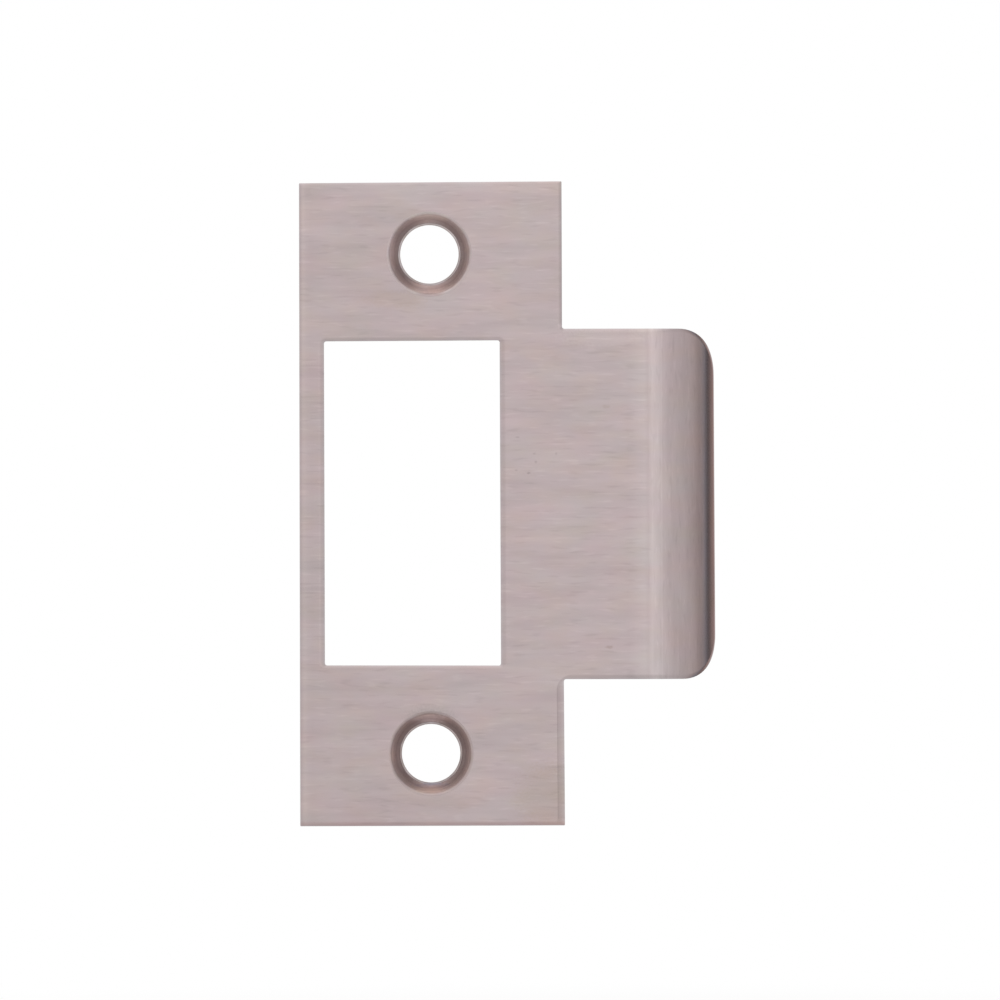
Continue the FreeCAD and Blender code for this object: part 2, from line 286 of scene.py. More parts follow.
# %% The window's edge
WINDOW_CORNER = 0.25
WINDOW_ROLL = (0.34, 0.08, 2.0)
WINDOW_SIDE_ROLL = (0.6, 0.12, 1.5)
left, right = WINDOW_MIDDLE - WINDOW_HALF_WIDTH, WINDOW_MIDDLE + WINDOW_HALF_WIDTH
window_rows = [
    (left, -WINDOW_HALF_HEIGHT, 0.03, 0.11, WINDOW_CORNER, 1.0, *WINDOW_SIDE_ROLL, 40),
    (left, WINDOW_HALF_HEIGHT, 0.045, 0.055, WINDOW_CORNER, 1.0, *WIDE_ROLL, 22),
    (right, WINDOW_HALF_HEIGHT, 0.0, 0.105, WINDOW_CORNER, 1.0, *WINDOW_SIDE_ROLL, 40),
    (right, -WINDOW_HALF_HEIGHT, 0.03, 0.03, WINDOW_CORNER, 1.0, *WINDOW_ROLL, 22),
]
window_edge = edge_from(window_rows, arc_points=9)
print("window edge:", window_edge[0].shape[0], "levels of", window_edge[0].shape[1], "places")

# %% [markdown]
# A screw hole is turned: a short section swept round the hole's axis. From the front it is a softened
# mouth, the 82 degree cone that takes the screw's head, a narrow flat shoulder that the cutter's tip
# leaves, and the straight bore. Each stretch of the section has its own normals, so the shoulder stays
# crisp.

# %% The screw holes
HOLE_PLACES = 120
MOUTH_POINTS, CONE_POINTS, SHORT_POINTS, BACK_POINTS = 5, 9, 3, 4
MOUTH_SOFT = 0.42
BORE_BACK_SOFT = 0.06


def hole_section():
    """Points (radius, depth) and normals (inward, forward) of the section, as stretches.

    A soft edge between two directions is an arc, and the rest are straight lines.
    """
    foot_radius = BORE_RADIUS + SHOULDER
    land_top = THICKNESS - LAND
    slope = np.arctan2(land_top, MOUTH_RADIUS - foot_radius)
    swing = np.linspace(0, slope, MOUTH_POINTS)
    mouth_start = MOUTH_RADIUS + MOUTH_SOFT * np.tan(slope / 2)
    mouth = np.stack([mouth_start - MOUTH_SOFT * np.sin(swing), MOUTH_SOFT * (1 - np.cos(swing))])
    cone_end = np.array([foot_radius, land_top])
    cone = mouth[:, -1:] + (cone_end[:, None] - mouth[:, -1:]) * np.linspace(0, 1, CONE_POINTS)
    few = np.linspace(0, 1, SHORT_POINTS)
    shelf = np.stack([foot_radius + (BORE_RADIUS - foot_radius) * few, land_top + 0 * few])
    bore_end = THICKNESS - BORE_BACK_SOFT
    bore = np.stack([BORE_RADIUS + 0 * few, land_top + (bore_end - land_top) * few])
    back = np.linspace(0, np.pi / 2, BACK_POINTS)
    widening = BORE_BACK_SOFT * (1 - np.cos(back))
    rim = np.stack([BORE_RADIUS + widening, bore_end + BORE_BACK_SOFT * np.sin(back)])
    facing = [
        np.stack([np.sin(swing), np.cos(swing)]),
        np.tile([[np.sin(slope)], [np.cos(slope)]], CONE_POINTS),
        np.tile([[0.0], [1.0]], SHORT_POINTS),
        np.tile([[1.0], [0.0]], SHORT_POINTS),
        np.stack([np.cos(back), -np.sin(back)]),
    ]
    return list(zip([mouth, cone, shelf, bore, rim], facing))


def full_turn(places):
    """Evenly spaced angles round one turn."""
    return np.arange(places) * 2 * np.pi / places


def turned_hole(height):
    """The stretches of a hole about its axis at a height, each a grid of points with its normals.

    p = centre + r (cos a, -sin a), so the metal is on the left as a grows.
    """
    angle = full_turn(HOLE_PLACES)
    spoke = np.stack([np.cos(angle), -np.sin(angle)], axis=1)
    grids = []
    for (radius, depth), (inward, forward) in hole_section():
        flat = np.array([HOLE_ASIDE, height]) + radius[:, None, None] * spoke
        points = np.concatenate([flat, np.broadcast_to(depth[:, None, None], flat.shape[:2] + (1,))], axis=2)
        tilt = -inward[:, None, None] * spoke
        rise = np.broadcast_to(-forward[:, None, None], tilt.shape[:2] + (1,))
        grids.append((points, np.concatenate([tilt, rise], axis=2)))
    return grids


hole_grids = [turned_hole(height) for height in (HOLE_HEIGHT, -HOLE_HEIGHT)]
print("each hole:", sum(len(points) for points, _ in hole_grids[0]), "rings of", HOLE_PLACES)

# %% [markdown]
# What is left are the front and the back face, flat in the blank, with a window and two round holes. They
# are filled with triangles between the first or last level of every edge and a staggered lattice of inner
# points, by Blender's constrained triangulation. The lattice is close enough to follow the bend.

# %% The front and back faces
LATTICE = 0.9
ROW_SHARE = 0.87
CLEARANCE = 0.35
TRIANGLE_TOLERANCE = 1e-9


def inside(points, loop):
    """Whether each point is inside a closed loop: an even number of its edges passes on the right if not."""
    start, finish = loop, np.roll(loop, -1, axis=0)
    x, y = points[:, 0, None], points[:, 1, None]
    straddles = (start[:, 1] > y) != (finish[:, 1] > y)
    rise = np.where(finish[:, 1] == start[:, 1], 1, finish[:, 1] - start[:, 1])
    at = start[:, 0] + (y - start[:, 1]) * (finish[:, 0] - start[:, 0]) / rise
    return (straddles & (x < at)).sum(axis=1) % 2 == 1


def filled(loops):
    """Triangles between an outer loop and its holes. Returns the points and the triangles."""
    boundary = np.concatenate(loops)
    starts = np.cumsum([0] + [len(loop) for loop in loops[:-1]])
    edges = np.concatenate([
        np.stack([np.arange(len(loop)), np.roll(np.arange(len(loop)), -1)], axis=1) + start
        for loop, start in zip(loops, starts)
    ])
    low, high = boundary.min(axis=0), boundary.max(axis=0)
    rows = np.arange(low[1], high[1], LATTICE * ROW_SHARE)
    across, up = np.meshgrid(np.arange(low[0], high[0], LATTICE), rows)
    across = across + LATTICE / 2 * (np.arange(across.shape[0]) % 2)[:, None]
    lattice = np.stack([across.ravel(), up.ravel()], axis=1)
    gap = np.sqrt(((lattice[:, None] - boundary[None]) ** 2).sum(axis=2)).min(axis=1)
    kept = (gap > CLEARANCE) & inside(lattice, loops[0])
    for loop in loops[1:]:
        kept &= ~inside(lattice, loop)
    points = np.concatenate([boundary, lattice[kept]])
    made = delaunay_2d_cdt(points.tolist(), edges.tolist(), [], 0, TRIANGLE_TOLERANCE)
    triangles = np.array(made[2])
    if len(made[0]) != len(points):
        raise RuntimeError("the triangulation added points, so two loops cross")
    centres = points[triangles].mean(axis=1)
    metal = inside(centres, loops[0])
    for loop in loops[1:]:
        metal &= ~inside(centres, loop)
    return points, triangles[metal]


def face_at(level, hole_row, depth, forward):
    """The front or back face: points in blank coordinates, normals and triangles."""
    loops = [outer_edge[0][level, :, :2], window_edge[0][level, :, :2]]
    loops += [grids[hole_row[0]][0][hole_row[1], :, :2] for grids in hole_grids]
    flat, triangles = filled(loops)
    points = np.column_stack([flat, np.full(len(flat), depth)])
    normals = np.tile([0.0, 0.0, -forward], (len(flat), 1))
    return points, normals, triangles if forward > 0 else triangles[:, ::-1]


front_face = face_at(0, (0, 0), 0.0, 1.0)
back_face = face_at(-1, (-1, -1), THICKNESS, -1.0)
print("front face:", len(front_face[2]), "triangles; back face:", len(back_face[2]))

# %% [markdown]
# Now the patches are joined into one closed skin. Points that coincide are merged, while every corner of
# every face keeps the normal of the patch it came from, so flat stays flat right up to the roll. The skin
# also carries its blank coordinates as an attribute, because the brushing was done on the flat sheet and
# its pattern has to follow the metal round the bend. Three finishes share the skin: the brushed faces with
# their rolls, the cut walls, and the turned holes.

# %% Join the skin
BRUSHED, CUT, TURNED = 0, 1, 2
MERGE_WITHIN = 0.0001


def grid_faces(levels, places):
    """Quads of a grid that is closed along its places, wound so that they face away from the metal."""
    level, place = np.meshgrid(np.arange(levels - 1), np.arange(places), indexing="ij")
    following = (place + 1) % places
    corners = [level * places + place, (level + 1) * places + place]
    corners += [(level + 1) * places + following, level * places + following]
    return np.stack([corner.ravel() for corner in corners], axis=1)


def grid_patch(points, normals, rim, finish):
    """A patch from a closed grid, with one rim value for each level."""
    rims = np.repeat(rim, points.shape[1])
    return points.reshape(-1, 3), normals.reshape(-1, 3), grid_faces(*points.shape[:2]), finish, rims


patches = []
first_wall = ROLL_STEPS + 1
rims = profile["rim"]
for points, normals in (outer_edge, window_edge):
    walls = normals[ROLL_STEPS:].copy()
    walls[0] = normals[first_wall]
    patches.append(grid_patch(points[:first_wall], normals[:first_wall], rims[:first_wall], BRUSHED))
    patches.append(grid_patch(points[ROLL_STEPS:], walls, rims[ROLL_STEPS:], CUT))
for grids in hole_grids:
    patches += [grid_patch(points, normals, np.zeros(len(points)), TURNED) for points, normals in grids]
for points, normals, triangles in (front_face, back_face):
    patches.append((points, normals, triangles, BRUSHED, np.zeros(len(points))))

point_sets, normal_sets, face_sets, finishes, rim_sets = zip(*patches)
offsets = np.cumsum([0] + [len(points) for points in point_sets[:-1]])
blank = np.concatenate(point_sets)
facing = np.concatenate(normal_sets)
rim = np.concatenate(rim_sets)
corner_lists = [faces + offset for faces, offset in zip(face_sets, offsets)]
rounded = np.round(blank / MERGE_WITHIN).astype(np.int64)
_, kept, merged = np.unique(rounded, axis=0, return_index=True, return_inverse=True)
merged = merged.ravel()
print(len(blank), "points before merging,", len(kept), "after")


# %% Put the skin into a mesh
def placed(name, data):
    """A new object for a mesh, a lamp or a camera, linked into the scene."""
    made = bpy.data.objects.new(name, data)
    bpy.context.scene.collection.objects.link(made)
    return made


def add_attribute(mesh, name, kind, field, values):
    """A named value on every point of a mesh, of a kind whose data has the given field."""
    layer = mesh.attributes.new(name, kind, "POINT")
    layer.data.foreach_set(field, values.astype(np.float32).ravel())


def read(items, field, width, kind):
    """One field of all the items of a mesh, as a flat array."""
    values = np.empty(len(items) * width, kind)
    items.foreach_get(field, values)
    return values


def closed_volume(mesh):
    """The volume inside a closed mesh in mm3, and how many of its edges don't join exactly two faces."""
    mesh.calc_loop_triangles()
    corners = read(mesh.loop_triangles, "vertices", 3, np.int32).reshape(-1, 3)
    places = read(mesh.vertices, "co", 3, np.float32).reshape(-1, 3).astype(float)
    a, b, c = places[corners].transpose(1, 0, 2)
    volume = np.einsum("ij,ij->i", a, np.cross(b, c)).sum() / 6
    used = read(mesh.loops, "edge_index", 1, np.int32)
    return volume / MM**3, int((np.bincount(used, minlength=len(mesh.edges)) != 2).sum())


skin_mesh = bpy.data.meshes.new("strike_plate_skin")
faces = [corner for corners in corner_lists for corner in merged[corners].tolist()]
skin_mesh.from_pydata((bent(blank[kept]) * MM).tolist(), [], faces)
finish_of = np.repeat(finishes, [len(faces) for faces in face_sets])
skin_mesh.polygons.foreach_set("material_index", finish_of.astype(np.int32))
skin_mesh.polygons.foreach_set("use_smooth", np.ones(len(finish_of), bool))
add_attribute(skin_mesh, "sheet", "FLOAT_VECTOR", "vector", blank[kept])
add_attribute(skin_mesh, "rim", "FLOAT", "value", rim[kept])
corner_order = np.concatenate([corners.ravel() for corners in corner_lists])
skin_mesh.normals_split_custom_set(bent_normals(blank, facing)[corner_order].tolist())
skin_mesh.update()
skin = placed("brushed_skin", skin_mesh)
volume, open_edges = closed_volume(skin_mesh)
print(f"skin: {len(skin_mesh.polygons)} faces, {volume:.0f} mm3, {open_edges} open edges")
if open_edges:
    raise RuntimeError("the skin isn't closed")

# %% [markdown]
# The finish is built from node groups that the three materials share. Each group reads the blank
# coordinates in millimetres and puts out plain values, so the shader itself stays in the material.
# A few helpers keep the node code short: one adds a node and sets its inputs, the others stand for the
# nodes used most, and one turns a colour as it is seen on a screen into the scene's linear colour.

# %% Helpers for nodes
# A Mix node has sockets for every kind of data. These are the places of those for colours.
MIX_FACTOR, MIX_FIRST, MIX_SECOND, MIX_RESULT = 0, 6, 7, 2


def seen(red, green, blue):
    """A screen colour, 0 to 255, as linear values with alpha, by the sRGB curve."""
    level = np.array([red, green, blue]) / 255
    linear = np.where(level <= 0.04045, level / 12.92, ((level + 0.055) / 1.055) ** 2.4)
    return (*linear.tolist(), 1.0)


def set_inputs(tree, node, values):
    """The node, with each input that is named or numbered set to a value or linked to a socket."""
    for name, value in values.items():
        if isinstance(value, bpy.types.NodeSocket):
            tree.links.new(value, node.inputs[name])
        else:
            node.inputs[name].default_value = value
    return node


def add_node(tree, kind, values=None, **settings):
    """A new node with its settings and inputs."""
    node = tree.nodes.new(kind)
    for name, value in settings.items():
        setattr(node, name, value)
    return set_inputs(tree, node, values or {})


def calc(tree, operation, *values, clamp=False):
    """The output of a Math node."""
    node = add_node(tree, "ShaderNodeMath", dict(enumerate(values)), operation=operation, use_clamp=clamp)
    return node.outputs[0]


def calc_vector(tree, operation, *values):
    """The output of a Vector Math node."""
    node = add_node(tree, "ShaderNodeVectorMath", dict(enumerate(values)), operation=operation)
    return node.outputs["Value" if operation == "LENGTH" else "Vector"]


def combine(tree, x, y, z=0.0):
    """The output of a Combine XYZ node."""
    return add_node(tree, "ShaderNodeCombineXYZ", {"X": x, "Y": y, "Z": z}).outputs[0]


def noise(tree, where, scale, detail=2.0):
    """The output of a Noise Texture node, whose mean is a half."""
    values = {"Vector": where, "Scale": scale, "Detail": detail}
    return add_node(tree, "ShaderNodeTexNoise", values).outputs[0]


def rising(tree, value, start, full, curve="LINEAR"):
    """The output of a Map Range node: 0 up to the start, 1 from full on, and a curve between them."""
    values = {"Value": value, "From Min": start, "From Max": full}
    return add_node(tree, "ShaderNodeMapRange", values, interpolation_type=curve).outputs[0]


def blend_colours(tree, kind, factor, first, second):
    """The output of a Mix node for colours."""
    values = {MIX_FACTOR: factor, MIX_FIRST: first, MIX_SECOND: second}
    return add_node(tree, "ShaderNodeMix", values, data_type="RGBA", blend_type=kind).outputs[MIX_RESULT]


def new_group(name, inputs, output, kind):
    """A node group with typed inputs (name, kind, default) and one output, and the sockets inside it."""
    group = bpy.data.node_groups.new(name, "ShaderNodeTree")
    for label, socket_kind, value in inputs:
        socket = group.interface.new_socket(label, in_out="INPUT", socket_type=f"NodeSocket{socket_kind}")
        socket.default_value = value
    group.interface.new_socket(output, in_out="OUTPUT", socket_type=f"NodeSocket{kind}")
    given = group.nodes.new("NodeGroupInput").outputs
    return group, given, group.nodes.new("NodeGroupOutput").inputs[output]


def use_group(tree, group, values, label=""):
    """The output of a group node in a tree."""
    return add_node(tree, "ShaderNodeGroup", values, node_tree=group, label=label).outputs[0]


# %% [markdown]
# Brushing leaves scratches of many lengths. One stretched noise looks like wood, so the group adds four
# quiet ones: two kinds of long soft bands, streaks, and a fine hiss that breaks them up. What the eye
# reads are the few single scratches between them, dark and light, which are the rare peaks of two more
# noises. The stretch is the ratio of the group's two inputs, the length of a streak and its width.

# %% Scratches group
# Scale and weight of the four noises.
STREAKS = [(0.12, 0.16), (0.34, 0.34), (0.9, 0.2), (2.6, 0.03)]
STREAK_DETAIL = 0.5
# Scale, shift of the pattern, weight: the dark scratches, then the light ones.
SINGLE_SCRATCHES = [(1.6, 30.0, -0.13), (1.8, 60.0, 0.11)]
PEAK_FROM, PEAK_TO = 0.62, 0.8
scratches, given, result = new_group(
    "Scratches",
    [("Vector", "Vector", (0, 0, 0)), ("Length", "Float", 3.0), ("Width", "Float", 0.2)],
    "Value",
    "Float",
)
across_count = calc(scratches, "DIVIDE", 1.0, given["Length"])
down_count = calc(scratches, "DIVIDE", 1.0, given["Width"])
stretch = combine(scratches, across_count, down_count, down_count)
stretched = calc_vector(scratches, "MULTIPLY", given["Vector"], stretch)
total = 0.0
for scale, weight in STREAKS:
    centred = calc(scratches, "SUBTRACT", noise(scratches, stretched, scale, STREAK_DETAIL), 0.5)
    total = calc(scratches, "MULTIPLY_ADD", centred, weight, total)
for scale, shift, weight in SINGLE_SCRATCHES:
    moved = calc_vector(scratches, "ADD", stretched, (shift, shift, 0))
    single = rising(scratches, noise(scratches, moved, scale, 0.0), PEAK_FROM, PEAK_TO)
    total = calc(scratches, "MULTIPLY_ADD", single, weight, total)
scratches.links.new(total, result)
print("streaks:", len(STREAKS), "and kinds of single scratch:", len(SINGLE_SCRATCHES))

# %% [markdown]
# The metal isn't one colour. Handling and the lacquer leave faint clouds of pink and of grey green, each a
# few millimetres wide. The group moves the colour it is given a little towards one and the other.

# %% Clouds group
# Tint, clouds in a millimetre, and how far the pattern is shifted, so that no two clouds agree.
CLOUDS = [
    ((1.035, 0.975, 0.985, 1), 0.2, 0.0),
    ((0.975, 1.02, 1.0, 1), 0.28, 40.0),
    ((1.015, 1.0, 0.935, 1), 0.32, 80.0),
]
CLOUD_STRETCH = (0.7, 1.25, 1.0)
CLOUD_FROM, CLOUD_TO = 0.42, 0.68
clouds, given, result = new_group(
    "Clouds",
    [("Vector", "Vector", (0, 0, 0)), ("Color", "Color", (0.5, 0.5, 0.5, 1)), ("Amount", "Float", 0.5)],
    "Color",
    "Color",
)
clouded = given["Color"]
drawn_out = calc_vector(clouds, "MULTIPLY", given["Vector"], CLOUD_STRETCH)
for tint, scale, shift in CLOUDS:
    shifted = calc_vector(clouds, "ADD", drawn_out, (shift, shift / 2, 0))
    spread = rising(clouds, noise(clouds, shifted, scale), CLOUD_FROM, CLOUD_TO)
    factor = calc(clouds, "MULTIPLY", spread, given["Amount"])
    clouded = blend_colours(clouds, "MULTIPLY", factor, clouded, tint)
clouds.links.new(clouded, result)
print("kinds of cloud:", len(CLOUDS))

# %% [markdown]
# A small mark, such as a speck of dirt or a scuff, is a soft oval. The group puts out how far a point is
# inside the oval, broken up a little by noise so that no mark is a clean ellipse.

# %% Mark group
RAGGED_SCALE = 4.0
MARK_EDGE, MARK_FULL = 1.0, 0.35
mark, given, result = new_group(
    "Mark",
    [("Vector", "Vector", (0, 0, 0)), ("Centre", "Vector", (0, 0, 0)), ("Reach", "Vector", (1, 1, 1))],
    "Mask",
    "Float",
)
offset = calc_vector(mark, "SUBTRACT", given["Vector"], given["Centre"])
shares = calc_vector(mark, "DIVIDE", offset, given["Reach"])
ragged = calc(mark, "SUBTRACT", noise(mark, given["Vector"], RAGGED_SCALE), 0.5)
far = calc(mark, "ADD", calc_vector(mark, "LENGTH", shares), ragged)
mark.links.new(rising(mark, far, MARK_EDGE, MARK_FULL, "SMOOTHSTEP"), result)
print("a mark fades in from", MARK_EDGE, "to", MARK_FULL, "of its reach")

# %% [markdown]
# Much of what gives this metal its look lies in bands: the painted highlight where the bend begins, the
# painted red reflection along an edge. The group turns a distance into a soft band about a centre, with a
# reach of its own on each side, so that a band may start sharply and fade slowly.

# %% Band group
band, given, result = new_group(
    "Band",
    [("Value", "Float", 0.0), ("Centre", "Float", 0.0), ("Before", "Float", 1.0), ("After", "Float", 1.0)],
    "Mask",
    "Float",
)
from_centre = calc(band, "SUBTRACT", given["Value"], given["Centre"])
fall_before = calc(band, "MULTIPLY", calc(band, "DIVIDE", from_centre, given["Before"]), -1.0)
fall_after = calc(band, "DIVIDE", from_centre, given["After"])
farther = calc(band, "MAXIMUM", fall_before, fall_after)
band.links.new(calc(band, "SUBTRACT", 1.0, farther, clamp=True), result)
print("node groups:", [group.name for group in bpy.data.node_groups])

# %% [markdown]
# The brushed face. On the flat the scratches run across the plate, along u. Where the lip bends, the die
# has rubbed them away and left fine lines along the bend, along v, and a painted highlight lies where the
# bend begins. So the material holds two sets of scratches and changes from one to the other at the start of
# the bend. The few marks on this plate are placed by name, in millimetres on the blank. Several bands and
# a few marks are painted highlights and reflections.

# %% The brushed finish
SATIN = seen(187.5, 173.3, 174.3)
SATIN_CLOUDS = 0.62
SATIN_ROUGHNESS, SCRATCH_GLOSS = 0.22, -0.12
SCRATCH_CONTRAST = 0.5
# Length and width of the scratches in mm, and strength and depth in metres of a bump.
FLAT_SCRATCHES, BEND_SCRATCHES = (3.3, 0.54), (2.6, 0.5)
SATIN_BUMP = (0.25, 0.00002)
BEND_SHARE = 0.9
RUB_FROM, RUB_TO = BEND_START - 1.2, BEND_START + 0.4
TARNISH_SCALE = 0.25
EDGE_HIGHLIGHT_FROM = 0.5
# Name, centre along u, reach before and after, tint.
# The first four bands, about the start of the bend, are a painted sheen and painted highlights, and the pale
# line along the left edge is a painted highlight too.
BANDS_ALONG = [
    ("rubbed band before the bend", BEND_START - 0.9, 1.8, 1.0, (1.075, 1.1, 1.09, 1)),
    ("burnished line where the bend begins", BEND_START - 0.05, 0.45, 1.15, (1.14, 1.16, 1.155, 1)),
    ("second line", BEND_START + 0.98, 0.1, 0.12, (1.05, 1.05, 1.05, 1)),
    ("pale band after the bend begins", BEND_START + 0.7, 1.0, 1.6, (1.02, 1.045, 1.045, 1)),
    ("duller band down the left rail", -12.9, 0.6, 2.2, (0.975, 0.97, 0.97, 1)),
    ("duller stretch beside it", -9.0, 3.5, 8.0, (0.978, 0.976, 0.973, 1)),
    ("pale line along the left edge", -13.72, 0.25, 0.3, (1.035, 1.035, 1.025, 1)),
]
# Name, centre along v, reach below and above, tint.
# Both bands are painted light: a painted red reflection just above the bottom edge, and a painted highlight
# under the top edge.
BANDS_UP = [
    ("red line above the bottom edge", -PLATE_TOP + 0.2, 0.35, 0.4, (0.96, 0.88, 0.88, 1)),
    ("pale band under the top edge", PLATE_TOP - 0.4, 1.0, 0.5, (1.025, 1.045, 1.04, 1)),
]
EDGE_TARNISH = (0.97, 0.975, 0.98, 1)
# A painted highlight on the outer part of every roll: paler and bluer towards the edge.
EDGE_HIGHLIGHT = (1.08, 1.13, 1.14, 1)
SPECK = (0.66, 0.66, 0.66, 1)
# Reach, strength and tint of the shade by the lower screw, which lies on the face and in the cone.
LOWER_SHADE = ((3.4, 1.9), 0.7, (0.81, 0.83, 0.83, 1))
LOWER_SHADE_ABOVE = 3.6
# How deep in the sheet a mark still shows, so that none of the face's marks comes through to the back.
FACE_MARK_DEPTH = 0.8
# Name, centre (u, v), reach (u, v), strength, tint.
MARKS = [
    ("smudge above the middle of the lip", (19.0, 10.5), (0.6, 0.3), 0.4, (0.8, 0.79, 0.7, 1)),
    ("smudge below it", (19.35, -15.6), (0.6, 0.24), 0.5, (0.72, 0.68, 0.62, 1)),
    ("speck by the window, first", (9.4, 7.2), (0.3, 0.14), 0.4, SPECK),
    ("speck by the window, second", (11.2, 5.4), (0.22, 0.16), 0.4, SPECK),
    ("speck by the window, third", (11.4, 4.5), (0.2, 0.2), 0.45, SPECK),
    ("speck by the window, fourth", (9.3, 3.6), (0.26, 0.14), 0.35, SPECK),
    ("speck by the window, fifth", (10.6, 3.3), (0.3, 0.16), 0.6, SPECK),
    ("speck nearer the lip", (13.6, 5.4), (0.18, 0.22), 0.3, SPECK),
    ("scuff by the upper screw", (-4.0, 22.2), (4.5, 1.2), 0.6, (0.945, 0.92, 0.86, 1)),
    ("straw tint in the top right corner", (11.6, 34.3), (5.0, 1.3), 0.45, (1.0, 0.985, 0.945, 1)),
    ("brown tint in the lower right corner", (12.8, -32.0), (5.0, 5.0), 0.65, (0.945, 0.925, 0.85, 1)),
    # A painted highlight under the lip's top edge, paler and whiter.
    ("light patch under the lip's top edge", (18.5, 18.0), (6.0, 1.3), 0.6, (1.1, 1.14, 1.125, 1)),
    ("straw tint under the lower screw", (0.0, -31.8), (6.0, 1.6), 0.5, (0.99, 0.975, 0.93, 1)),
    ("grey shade above the lower screw", (HOLE_ASIDE, LOWER_SHADE_ABOVE - HOLE_HEIGHT), *LOWER_SHADE),
    # A painted glint at the upper notch's inner corner.
    ("bright burr in the upper notch", (14.1, 19.3), (0.3, 0.3), 0.8, (1.2, 1.2, 1.2, 1)),
    ("straw tint in the middle of the wing", (21.0, 3.0), (2.2, 3.4), 0.45, (1.0, 0.99, 0.94, 1)),
]


def new_finish(name):
    """A material and its tree, and in it the blank coordinates, as a vector and one by one."""
    material = bpy.data.materials.new(name)
    material.use_nodes = True
    tree = material.node_tree
    place = add_node(tree, "ShaderNodeAttribute", attribute_name="sheet").outputs["Vector"]
    return material, tree, place, *add_node(tree, "ShaderNodeSeparateXYZ", {"Vector": place}).outputs


def scratched(tree, where, size):
    """The scratches group in a material, for a length and a width."""
    return use_group(tree, scratches, {"Vector": where, "Length": size[0], "Width": size[1]})


def with_marks(tree, place, colour, marks, depth, origin=(0, 0)):
    """The colour after each mark of a list has tinted it, down to a depth in the sheet."""
    for name, centre, reach, strength, tint in marks:
        centre = (centre[0] + origin[0], centre[1] + origin[1], 0)
        mask = use_group(tree, mark, {"Vector": place, "Centre": centre, "Reach": (*reach, depth)}, name)
        colour = blend_colours(tree, "MULTIPLY", calc(tree, "MULTIPLY", mask, strength), colour, tint)
    return colour


def end_finish(tree, colour, grain, contrast, roughness, relief, bump):
    """Give the metal its colour, shaded by 1 + contrast times the grain, its roughness and its relief."""
    shade = calc(tree, "MULTIPLY_ADD", grain, contrast, 1.0)
    grey = add_node(tree, "ShaderNodeCombineColor", {"Red": shade, "Green": shade, "Blue": shade}).outputs[0]
    raised = add_node(tree, "ShaderNodeBump", {"Height": relief, "Strength": bump[0], "Distance": bump[1]})
    set_inputs(tree, tree.nodes["Principled BSDF"], {
        "Metallic": 1.0,
        "Base Color": blend_colours(tree, "MULTIPLY", 1.0, colour, grey),
        "Roughness": roughness,
        "Normal": raised.outputs["Normal"],
    })


satin, tree, place, u, v, w = new_finish("satin_face")
past_bend = rising(tree, u, RUB_FROM, RUB_TO, "SMOOTHSTEP")
before_bend = calc(tree, "SUBTRACT", 1.0, past_bend)
across = calc(tree, "MULTIPLY", scratched(tree, place, FLAT_SCRATCHES), before_bend)
bend_scratch = scratched(tree, combine(tree, v, u, w), BEND_SCRATCHES)
scratch = calc(tree, "MULTIPLY_ADD", bend_scratch, calc(tree, "MULTIPLY", past_bend, BEND_SHARE), across)
colour = use_group(tree, clouds, {"Vector": place, "Color": SATIN, "Amount": SATIN_CLOUDS})
for distance, bands in ((u, BANDS_ALONG), (v, BANDS_UP)):
    for name, centre, before, after, tint in bands:
        values = {"Value": distance, "Centre": centre, "Before": before, "After": after}
        colour = blend_colours(tree, "MULTIPLY", use_group(tree, band, values, name), colour, tint)
rim_of = add_node(tree, "ShaderNodeAttribute", attribute_name="rim").outputs["Fac"]
patchy = calc(tree, "ADD", noise(tree, place, TARNISH_SCALE), 0.5)
tarnish = calc(tree, "MULTIPLY", rim_of, patchy, clamp=True)
colour = blend_colours(tree, "MULTIPLY", tarnish, colour, EDGE_TARNISH)
# The painted edge highlight, rising over the outer half of each roll.
colour = blend_colours(tree, "MULTIPLY", rising(tree, rim_of, EDGE_HIGHLIGHT_FROM, 1.0), colour, EDGE_HIGHLIGHT)
colour = with_marks(tree, place, colour, MARKS, FACE_MARK_DEPTH)
rough = calc(tree, "MULTIPLY_ADD", scratch, SCRATCH_GLOSS, SATIN_ROUGHNESS)
end_finish(tree, colour, scratch, SCRATCH_CONTRAST, rough, scratch, SATIN_BUMP)
print("marks on the face:", len(MARKS))

# %% [markdown]
# The cut wall. Just under the roll the punch has burnished it, with fine lines down through the sheet.
# Deeper, where the metal tore, it is duller, darker and rough.

# %% The cut finish
CUT_BRIGHT, CUT_TORN = seen(176, 166, 163), seen(120, 110, 106)
CUT_LINES = (1.2, 0.12)
CUT_CONTRAST = 0.5
LINE_RELIEF = 0.4
CUT_BUMP = (0.5, 0.00006)
# Depth in mm where the tear begins and where all is torn, and how far the lines move that.
TORN_FROM, TORN_TO, TORN_RAGGED = 0.75, 0.95, 0.5
CUT_ROUGHNESS, TORN_ROUGHER = 0.28, 0.27
GRIT_SCALE, GRIT_DETAIL = 7.0, 4.0
cut, tree, place, u, v, w = new_finish("punched_wall")
swapped = add_node(tree, "ShaderNodeMapping", {"Vector": place, "Rotation": (0, np.pi / 2, 0)}).outputs[0]
lines = scratched(tree, swapped, CUT_LINES)
torn = rising(tree, calc(tree, "MULTIPLY_ADD", lines, TORN_RAGGED, w), TORN_FROM, TORN_TO)
colour = blend_colours(tree, "MIX", torn, CUT_BRIGHT, CUT_TORN)
rough = calc(tree, "MULTIPLY_ADD", torn, TORN_ROUGHER, CUT_ROUGHNESS)
grit = calc(tree, "MULTIPLY", noise(tree, place, GRIT_SCALE, GRIT_DETAIL), torn)
relief = calc(tree, "MULTIPLY_ADD", lines, LINE_RELIEF, grit)
end_finish(tree, colour, lines, CUT_CONTRAST, rough, relief, CUT_BUMP)
print("the wall is torn from", TORN_FROM, "to", TORN_TO, "mm down")
